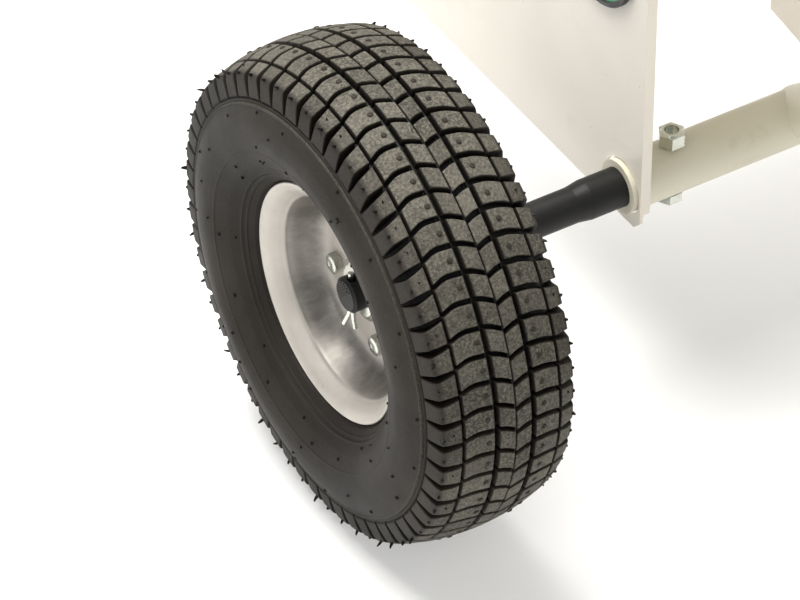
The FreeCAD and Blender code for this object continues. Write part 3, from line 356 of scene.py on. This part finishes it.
def base_at(s, deeper=0.0):
    """Point of the carcass under signed arc s."""
    w, r = np.interp(abs(s), KEYS, BASE[:, 0]), np.interp(abs(s), KEYS, BASE[:, 1])
    if deeper:
        dw, dr = np.interp(abs(s), SEG, DW), np.interp(abs(s), SEG, DR)
        ln = math.hypot(dw, dr)
        w, r = w + deeper * dr / ln, r - deeper * dw / ln
    return (1 if s >= 0 else -1) * w, r



DW, DR = np.gradient(TOPF[:, 0], SEG), np.gradient(TOPF[:, 1], SEG)


def at_arc(s, drop=0.0):
    """Point (w, r) at signed arc length s over the crown, dropped along the normal."""
    sg, s = (1 if s >= 0 else -1), abs(s)
    w, r = np.interp(s, SEG, TOPF[:, 0]), np.interp(s, SEG, TOPF[:, 1])
    dw, dr = np.interp(s, SEG, DW), np.interp(s, SEG, DR)
    ln = math.hypot(dw, dr)
    return sg * (w + drop * dr / ln), r - drop * dw / ln


def arc_of(w):
    return math.copysign(np.interp(abs(w), TOPF[:, 0], SEG), w)


PITCH = 360.0 / 58
REF = 108.05
# row: name, w from, w to, groove width (mm), groove line [(w, degrees)]
ROWS = [
    ("S1", -40.2, -28.9, 2.1, [(-40.2, 3.0), (-37.4, 2.65), (-28.9, 1.75)]),
    ("A", -27.1, -12.2, 2.9, [(-27.1, 1.05), (-22.5, 0.15), (-19.5, -0.1), (-12.2, 0.2)]),
    ("B", -9.0, -0.4, 2.9, [(-9.0, 0.35), (-6.0, 0.75), (-0.4, 2.1)]),
    ("C", 0.4, 9.0, 3.2, [(0.4, 2.95), (5.0, 2.2), (9.0, 1.9)]),
    ("D", 12.2, 27.1, 3.2, [(12.2, 1.6), (19.0, 1.9), (23.0, 2.4), (27.1, 3.15)]),
    ("S2", 28.9, 40.2, 2.3, [(28.9, 3.4), (37.4, 4.1), (40.2, 4.5)]),
]


def block(row, k, rnd):
    name, w0, w1, wid, line = row
    s0, s1 = arc_of(w0), arc_of(w1)
    lw, la = zip(*line)
    edge, inset = 0.0, 0.42
    inner = 4 if name in ("B", "C") else 6
    ss = [s0 - 0.25, s0, s0 + inset] + list(np.linspace(s0 + inset, s1 - inset, inner + 2)[1:-1]) + [s1 - inset, s1, s1 + 0.25]
    if name[0] == "S":      # one loop on the corner keeps it crisp
        sc = arc_of(math.copysign(37.6, w0))
        ss = sorted(ss + [sc - 0.25, sc + 0.25])
    kinds = [2] + [1] + [0] * (len(ss) - 4) + [1] + [2]
    V, A = [], []
    nphi = 4
    jit = rnd.uniform(-0.12, 0.12)
    for s, ks in zip(ss, kinds):
        sc = min(max(s, s0), s1)
        w_top, r_top = at_arc(sc)
        c = float(np.interp(w_top, lw, la))
        if name[0] == "S":
            wid = float(np.interp(abs(w_top), [28.9, 33.0, 37.0, 38.8, 40.2], [2.6, 3.6, 4.3, 3.8, 1.6]))
        hw = math.degrees(wid / 2 / r_top)
        d1 = math.degrees(inset / r_top)
        dr = math.degrees(0.28 / r_top)
        a, b = c + hw, c + PITCH - hw
        ph = [a - dr, a, a + d1] + list(np.linspace(a + d1, b - d1, nphi + 2)[1:-1]) + [b - d1, b, b + dr]
        kp = [2, 1, 0] + [0] * nphi + [0, 1, 2]
        for p, q in zip(ph, kp):
            kk = max(ks, q)
            if kk == 2:
                w, r = base_at(sc, 0.9 if abs(w_top) < 36 else 0.5)
                w += s - sc
            else:
                w, r = at_arc(sc, (0.0 + jit * 0.3, 0.34)[kk])
            V.append((w, r, REF + p + k * PITCH))
            face = 1.0 if abs(w_top) < 28 else (0.72 if abs(w_top) < 37.2 else 0.1)
            # dust on the block tops and less on the edges; -0.5 at the groove bottoms paints them near-black as painted
            # shade
            A.append((face * (1.0 + jit * 2.2), 0.30 * face, -0.5)[kk])
    m = 6 + nphi
    n = len(ss)
    F = [(i * m + j, (i + 1) * m + j, (i + 1) * m + j + 1, i * m + j + 1) for i in range(n - 1) for j in range(m - 1)]
    loop = [j for j in range(m)] + [i * m + m - 1 for i in range(1, n)] + [(n - 1) * m + j for j in range(m - 2, -1, -1)] + [i * m for i in range(n - 2, 0, -1)]
    F.append(tuple(loop))
    return V, F, A


def dome(bag, s, phi, rad, high, dust_and_painted_light, flat=False):
    """A small round bump standing on the profile at arc s, angle phi."""
    w0, r0 = at_arc(s, 0.0)
    _dome(bag, w0, r0, phi, at_arc(s, -1.0), rad, high, dust_and_painted_light)


def _dome(bag, w0, r0, phi, tip, rad, high, dust_and_painted_light):
    nrm = np.array([tip[0] - w0, tip[1] - r0])
    nrm /= np.hypot(*nrm)
    t = np.array([nrm[1], -nrm[0]])
    V, ring = [], 10
    for rr, hh in ((rad * 1.12, -0.35), (rad, 0.0), (rad * 0.86, high * 0.62), (rad * 0.5, high * 0.95)):
        for i in range(ring):
            a = 2 * math.pi * i / ring
            w = w0 + t[0] * rr * math.cos(a) + nrm[0] * hh
            r = r0 + t[1] * rr * math.cos(a) + nrm[1] * hh
            V.append((w, r, phi + math.degrees(rr * math.sin(a) / r0)))
    V.append((w0 + nrm[0] * high, r0 + nrm[1] * high, phi))
    F = []
    for k in range(3):
        for i in range(ring):
            j = (i + 1) % ring
            F.append((k * ring + i, k * ring + j, (k + 1) * ring + j, (k + 1) * ring + i))
    F += [(3 * ring + i, 3 * ring + (i + 1) % ring, 4 * ring) for i in range(ring)]
    F.append(tuple(range(ring))[::-1])
    bag.add(V, F, dust_and_painted_light)


def whisker(bag, w0, r0, phi, dirw, dirr, length, lean, rad=0.55):
    """A thin tapered vent hair, bent by lean (mm sideways round the wheel)."""
    nrm = np.array([dirw, dirr], float)
    nrm /= np.hypot(*nrm)
    t = np.array([nrm[1], -nrm[0]])
    V, ring, st = [], 6, 5
    for k in range(st):
        u = k / (st - 1)
        rr = rad * (1 - 0.6 * u * u)
        h = -0.6 + (length + 0.6) * u
        bend = lean * u * u
        for i in range(ring):
            a = 2 * math.pi * i / ring
            w = w0 + nrm[0] * h + t[0] * rr * math.cos(a)
            r = r0 + nrm[1] * h + t[1] * rr * math.cos(a)
            V.append((w, r, phi + math.degrees((bend + rr * math.sin(a)) / r0)))
    F = []
    for k in range(st - 1):
        for i in range(ring):
            j = (i + 1) % ring
            F.append((k * ring + i, k * ring + j, (k + 1) * ring + j, (k + 1) * ring + i))
    F.append(tuple(range(ring))[::-1])
    F.append(tuple((st - 1) * ring + i for i in range(ring)))
    bag.add(V, F, -0.8)


SIDE = [(40.2, 113.4), (42.3, 108), (44.6, 102), (45.7, 96), (45.6, 91.5), (44.3, 86), (41.5, 80), (38, 75), (34, 70), (31, 66.7)]
SIDEF = smooth_line(SIDE, 14)
SSEG = np.r_[0, np.cumsum(np.hypot(*np.diff(SIDEF, axis=0).T))]


def side_at(r, lift=0.0):
    """Point on the sidewall (positive w side) at radius r, lifted along its outward normal."""
    i = int(np.argmin(abs(SIDEF[:, 1] - r)))
    i = min(max(i, 1), len(SIDEF) - 2)
    t = SIDEF[i + 1] - SIDEF[i - 1]
    nrm = np.array([-t[1], t[0]]) / np.hypot(*t)
    return SIDEF[i] + nrm * lift, nrm


def side_profile():
    """Outer skin of one side from the shoulder line to the bead, with the moulded rings, then the bead."""
    out = []
    for i, (w, r) in enumerate(SIDEF):
        p, nrm = side_at(r)
        g = lambda c, s, h: h * math.exp(-((r - c) / s) ** 2)
        h = g(112.0, 0.35, -0.55) + g(110.9, 0.45, 0.5) + g(86.2, 0.35, 0.35) + g(72.3, 0.5, 0.55) + g(70.0, 0.35, 0.4)
        out.append(p + nrm * h)
    out += [(28.5, 65.6), (26.9, 62.5), (24.3, 59.6), (21.0, 57.2)]
    return [tuple(p) for p in out]


def carcass():
    half = []
    ss = list(np.linspace(0, SEG[-1], 60))
    for extra in (0.45, 0.55, 9.75, 10.15, 10.35, 10.9, 11.1, 11.5):
        ss.append(extra)
    for s in sorted(ss):
        w, r = base_at(s)
        if s < 0.5:
            r = 131.6
        if 10.1 < s < 11.2:
            r += 1.5
        half.append((w, r))
    side = side_profile()
    outer = half + side
    inner = [(19.5, 58.0), (24.5, 66.0), (34.0, 77.0), (39.5, 88.0), (40.6, 95.5), (38.0, 104.0), (33.0, 113.5), (22.0, 121.0), (0.0, 124.0)]
    right = [(w, r) for w, r in outer + inner]
    left = [(-w, r) for w, r in (outer[1:] + inner[:-1])][::-1]
    return right + left


def build_tyre(side, body, node):
    rnd = random.Random(7)
    bag = Bag()
    pts = carcass()
    v, f = lathe(pts, 348)
    dust_and_painted_light = np.zeros(len(pts))
    for i, (w, r) in enumerate(pts):
        if 110.4 < r < 111.8 and abs(w) > 40.5:
            dust_and_painted_light[i] = 0.30
        elif abs(w) > 40.05:
            dust_and_painted_light[i] = 0.05
        # the carcass under the tread forms the groove floors: -0.5 paints them near-black as painted shade
        elif r > 115:
            dust_and_painted_light[i] = -0.5
    bag.add(v, [q[::-1] for q in f], np.tile(dust_and_painted_light, 348))
    for row in ROWS:
        lw, la = zip(*row[4])
        for k in range(58):
            bag.add(*block(row, k, rnd))
            if row[0] in ("A", "D"):
                w = -15.4 if row[0] == "A" else 16.6
                s = arc_of(w + rnd.uniform(-0.5, 0.5))
                c = float(np.interp(w, lw, la)) + PITCH / 2 + rnd.uniform(-0.25, 0.25)
                # the nubs get a low dust value, so they are painted darker than the block tops: painted shade on the
                # nubs
                dome(bag, s, REF + c + k * PITCH, 1.6, rnd.uniform(0.6, 0.85), 0.15)
    # vent hairs and nubs on the shoulders
    for sg in (-1, 1):
        for k in range(58):
            s0 = arc_of(sg * 37.6)
            w, r = at_arc(s0)
            up = at_arc(s0, -1.0)
            ph = REF + (2.7 if sg < 0 else 4.1) + (k + rnd.uniform(0.4, 0.6)) * PITCH
            long = rnd.choice([0.8, 1.2, 1.6, 2.0, 2.4, 2.8, 3.2] if sg < 0 else [0.6, 0.8, 1.0, 1.2, 1.6, 2.0])
            whisker(bag, w, r, ph, up[0] - w, (up[1] - r) * 0.7, long, rnd.uniform(-1.9, 1.9) * long / 3, rnd.uniform(0.85, 1.15))
            if rnd.random() < 0.3:
                w, r = at_arc(arc_of(sg * 33.0))
                up = at_arc(arc_of(sg * 33.0), -1.0)
                whisker(bag, w, r, ph - 1.2, up[0] - w, up[1] - r, rnd.uniform(0.7, 1.4), rnd.uniform(-0.6, 0.6), 0.6)
    for sg in (-1, 1):
        for r, count, rad in ((107.5, 17, 1.0), (99.0, 9, 0.9), (91.0, 7, 0.8), (82.0, 12, 1.0), (75.5, 8, 0.8)):
            for i in range(count):
                rr = r + rnd.uniform(-1.8, 1.8)
                (w0, r0), nrm = side_at(rr)
                tip = (sg * (w0 + nrm[0]), r0 + nrm[1])
                _dome(bag, sg * w0, r0, (i + rnd.uniform(-0.3, 0.3)) * 360 / count, tip, rad * rnd.uniform(0.8, 1.15), rnd.uniform(0.7, 1.2), -0.6)
                if rnd.random() < 0.22:
                    whisker(bag, sg * w0, r0, (i + rnd.uniform(-0.3, 0.3)) * 360 / count + 3, sg * nrm[0], nrm[1], rnd.uniform(1.2, 2.4), rnd.uniform(-1.5, 1.5), 0.55)
    o = bag.make("tread_" + node, "tyre_rubber", body, side, angle=32.0)
    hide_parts(node)
    return o


build_tyre(0, "wheel_left", "tyre_left")
build_tyre(1, "wheel_right", "tyre_right")

# ---------------------------------------------------------------- rims and hub details
def build_rim(side, body, q, node):
    vis = [(2.0, 13.4), (2.0, 26.0), (2.0, 37.5), (2.15, 40.3), (2.8, 43.0), (4.4, 45.8), (7.2, 48.2), (12, 50.8), (17, 52.9), (19.4, 54.0),
           (20.9, 54.6), (22.2, 55.8), (24.2, 57.3), (27.2, 59.9), (29.1, 62.4), (29.9, 63.9), (29.85, 64.8), (29.1, 65.1)]
    # tone along the profile: high values paint the rim bright as reflection, low values paint it darker as shade
    painted_light_tone = [0.8, 0.85, 0.85, 0.8, 0.6, 0.2, 0.0, 0.05, 0.15, 0.3, 0.6, 0.9, 1, 1, 1, 1, 1, 1]
    pts = smooth_line(vis, 6)
    tn = list(np.interp(np.arange(len(pts)) / 6.0, np.arange(len(painted_light_tone)), painted_light_tone))
    back = [(28.3, 64.4), (27.2, 61.9), (24.5, 59.0), (21, 56.4), (17, 54.8), (10, 51.8), (2.6, 48.4), (0, 46.4), (0, 13.4)]
    line = [(q * w, r) for w, r in list(map(tuple, pts)) + back]
    v, f = lathe(line, 192)
    bag = Bag()
    bag.add(v, f, np.tile(tn + [0.5] * len(back), 192))
    o = bag.make(node + "_sheet", "zinc", body, side, angle=50.0, mat=RIM)
    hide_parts(node)


def turned_x(name, prof, side, phi, rad, slot, body, n=28):
    """A small part turned about an axis parallel to the wheel's, at polar place (rad, phi): prof is (w, r)."""
    m = len(prof)
    V, F = [], []
    cy, cz = rad * math.cos(math.radians(phi)), rad * math.sin(math.radians(phi))
    sg = -1 if side else 1
    for i in range(n):
        a = 2 * math.pi * i / n
        for w, r in prof:
            V.append(((-TRACK + w / 1000) * sg, AY + (cy + r * math.cos(a)) / 1000, AZ + (cz + r * math.sin(a)) / 1000))
    for i in range(n):
        j = (i + 1) % n
        for k in range(m - 1):
            F.append((i * m + k, i * m + k + 1, j * m + k + 1, j * m + k))
    F.append(tuple(i * m for i in range(n)))
    F.append(tuple(i * m + m - 1 for i in range(n))[::-1])
    return new_piece(name, V, F, slot, body, angle=40.0)


for side, nm in ((0, "left"), (1, "right")):
    body = "wheel_" + nm
    build_rim(side, body, -1, "rim_outer_" + nm)
    build_rim(side, body, 1, "rim_inner_" + nm)
    for j in range(4):
        turned_x("bolt_head_crown_%s_%d" % (nm, j), [(-6.3, 4.7), (-6.55, 4.6), (-6.85, 4.0), (-6.9, 2.0), (-6.65, 1.8), (-6.6, 0.3)], side, -14 + 90 * j, 34.0, "plated_steel", body)
    # a ribbed pad on the axle's end
    sg = -1 if side else 1
    x0 = -0.371 * sg
    V, F = [], []
    u = Vector((0, -1, 1)).normalized()
    t = Vector((0, 1, 1)).normalized()
    for i in range(6):
        off = 0.6 + i * 1.3
        half = math.sqrt(max(0.0, 7.9 ** 2 - off ** 2)) * (0.72 if i % 2 else 0.86)
        for du, dt, dx in ((-half, -0.4, -0.3), (half, -0.4, -0.3), (half, 0.4, -0.3), (-half, 0.4, -0.3),
                           (-half + 0.3, -0.22, 0.5), (half - 0.3, -0.22, 0.5), (half - 0.3, 0.22, 0.5), (-half + 0.3, 0.22, 0.5)):
            pnt = Vector((x0 - sg * dx / 1000, AY, AZ)) + u * (du / 1000) + t * ((off + dt) / 1000)
            V.append(tuple(pnt))
        b = i * 8
        F += [(b, b + 1, b + 2, b + 3), (b + 4, b + 5, b + 6, b + 7)] + [(b + k, b + (k + 1) % 4, b + 4 + (k + 1) % 4, b + 4 + k) for k in range(4)]
    new_piece("axle_end_ribs_" + nm, V, F, "black_axle", "frame", smooth=False)

# ---------------------------------------------------------------- grips, badge rims
for nm in ("left", "right"):
    lo_, hi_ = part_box("grip_" + nm)
    cy, cz = (lo_.y + hi_.y) / 2, (lo_.z + hi_.z) / 2
    sgx = -1 if nm == "left" else 1
    rg = (hi_.z - lo_.z) / 2 - 0.004
    V, F = [], []
    n, L = 36, hi_.x - lo_.x
    for i in range(14):
        xc = lo_.x + 0.012 + (L - 0.024) * (i + 0.5) / 14
        prof = [(-0.0024, -0.0006), (-0.0017, 0.0007), (0.0, 0.0011), (0.0017, 0.0007), (0.0024, -0.0006)]
        b = len(V)
        for a_ in range(n):
            an = 2 * math.pi * a_ / n
            for dx, dr in prof:
                V.append((xc + dx, cy + (rg + dr) * math.cos(an), cz + (rg + dr) * math.sin(an)))
        for a_ in range(n):
            j = (a_ + 1) % n
            for k in range(5):
                F.append((b + a_ * 5 + k, b + a_ * 5 + (k + 1) % 5, b + j * 5 + (k + 1) % 5, b + j * 5 + k))
    new_piece("grip_ribs_" + nm, V, F, "soft_rubber", "frame")

blo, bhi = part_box("badges")
by, bz, br = (blo.y + bhi.y) / 2, (blo.z + bhi.z) / 2, (bhi.z - blo.z) / 2
for nm, sx, bx in (("left", -1, blo.x), ("right", 1, bhi.x)):
    V, F, n = [], [], 96
    prof = [(-0.0021, 0.0012), (0.0003, 0.0012), (0.0008, 0.0006), (0.0008, -0.0016), (0.0003, -0.0022), (-0.0021, -0.0022)]
    for i in range(n):
        an = 2 * math.pi * i / n
        for dx, dr in prof:
            V.append((bx + sx * dx, by + (br + dr) * math.cos(an), bz + (br + dr) * math.sin(an)))
    for i in range(n):
        j = (i + 1) % n
        for k in range(6):
            F.append((i * 6 + k, i * 6 + (k + 1) % 6, j * 6 + (k + 1) % 6, j * 6 + k))
    new_piece("badge_rim_" + nm, V, F, "black_plastic", "frame")
    # a plain raised leaf on the badge
    V, F = [], []
    m = 24
    for layer, (sc, dx) in enumerate(((1.0, -0.0011), (1.0, 0.0001), (0.86, 0.0006))):
        for i in range(m):
            t_ = 2 * math.pi * i / m
            yy = 0.0165 * math.cos(t_) * sc
            zz = 0.0075 * math.sin(t_) * abs(math.sin(t_)) ** 0.25 * sc
            V.append((bx + sx * dx, by + yy * 0.8 - zz * 0.6, bz + yy * 0.6 + zz * 0.8))
    for l in range(2):
        for i in range(m):
            j = (i + 1) % m
            F.append((l * m + i, l * m + j, (l + 1) * m + j, (l + 1) * m + i))
    F += [tuple(range(m)), tuple(range(2 * m, 3 * m))[::-1]]
    new_piece("badge_leaf_" + nm, V, F, "cream_paint", "frame")

# ---------------------------------------------------------------- stage, light, camera
def plain(name, color, emit):
    n = Net(name).set(Metallic=0.0, IOR=1.45, Specular_IOR_Level=0.2)
    n.color(n.mix(n.ramp(n.noise(3.0, 3.0), [(0.3, 0.0), (0.7, 1.0)]), color, tuple(x * 0.985 for x in color[:3]) + (1,)))
    n.rough(n.ramp(n.noise(9.0, 3.0), [(0.3, 0.7), (0.7, 0.8)]))
    n.bump(n.noise(30.0, 2.0), 0.02, 0.001)
    n.b.inputs["Emission Color"].default_value = (1, 0.995, 0.985, 1)
    n.b.inputs["Emission Strength"].default_value = emit
    return n.m


me = bpy.data.meshes.new("floor")
S = 9.0
me.from_pydata([(-S, -S, -0.0004), (S, -S, -0.0004), (S, S, -0.0004), (-S, S, -0.0004)], [], [(0, 1, 2, 3)])
floor = bpy.data.objects.new("floor", me)
scene.collection.objects.link(floor)
me.materials.append(plain("floor_mat", (0.66, 0.66, 0.655, 1), 0.36))

world = bpy.data.worlds.new("studio")
scene.world = world
world.use_nodes = True
bg = world.node_tree.nodes["Background"]
bg.inputs[0].default_value = (1.0, 0.995, 0.985, 1)
bg.inputs[1].default_value = 0.42


def area(name, loc, aim, size, power, color=(1, 1, 1)):
    d = bpy.data.lights.new(name, "AREA")
    d.shape = "RECTANGLE"
    d.size, d.size_y = size
    d.energy = power
    d.color = color
    o = bpy.data.objects.new(name, d)
    scene.collection.objects.link(o)
    o.location = loc
    o.rotation_mode = "QUATERNION"
    o.rotation_quaternion = (Vector(loc) - Vector(aim)).to_track_quat("Z", "Y")
    return o


area("key", (-0.6, 1.05, 2.55), (-0.3, 0.35, 0.1), (1.5, 1.4), 112, (1, 0.985, 0.96))
area("front", (-2.8, -0.9, 1.9), (-0.3, 0.3, 0.3), (1.2, 1.4), 15)
area("right", (2.6, -0.6, 1.8), (0.1, 0.2, 0.3), (1.8, 1.8), 20)

cam_data = bpy.data.cameras.new("camera")
cam = bpy.data.objects.new("camera", cam_data)
scene.collection.objects.link(cam)
a, e = math.radians(-31.6), math.radians(41.0)
back = Vector((math.sin(a) * math.cos(e), -math.cos(a) * math.cos(e), math.sin(e)))
cam.location = (-1.42355, -1.37529, 1.91583)
cam.rotation_mode = "QUATERNION"
cam.rotation_quaternion = (-back).to_track_quat("-Z", "Y")
cam_data.lens = 243
cam_data.sensor_width = 36
cam_data.clip_start, cam_data.clip_end = 0.05, 60
scene.camera = cam
scene.view_settings.view_transform = "Standard"
scene.view_settings.look = "None"
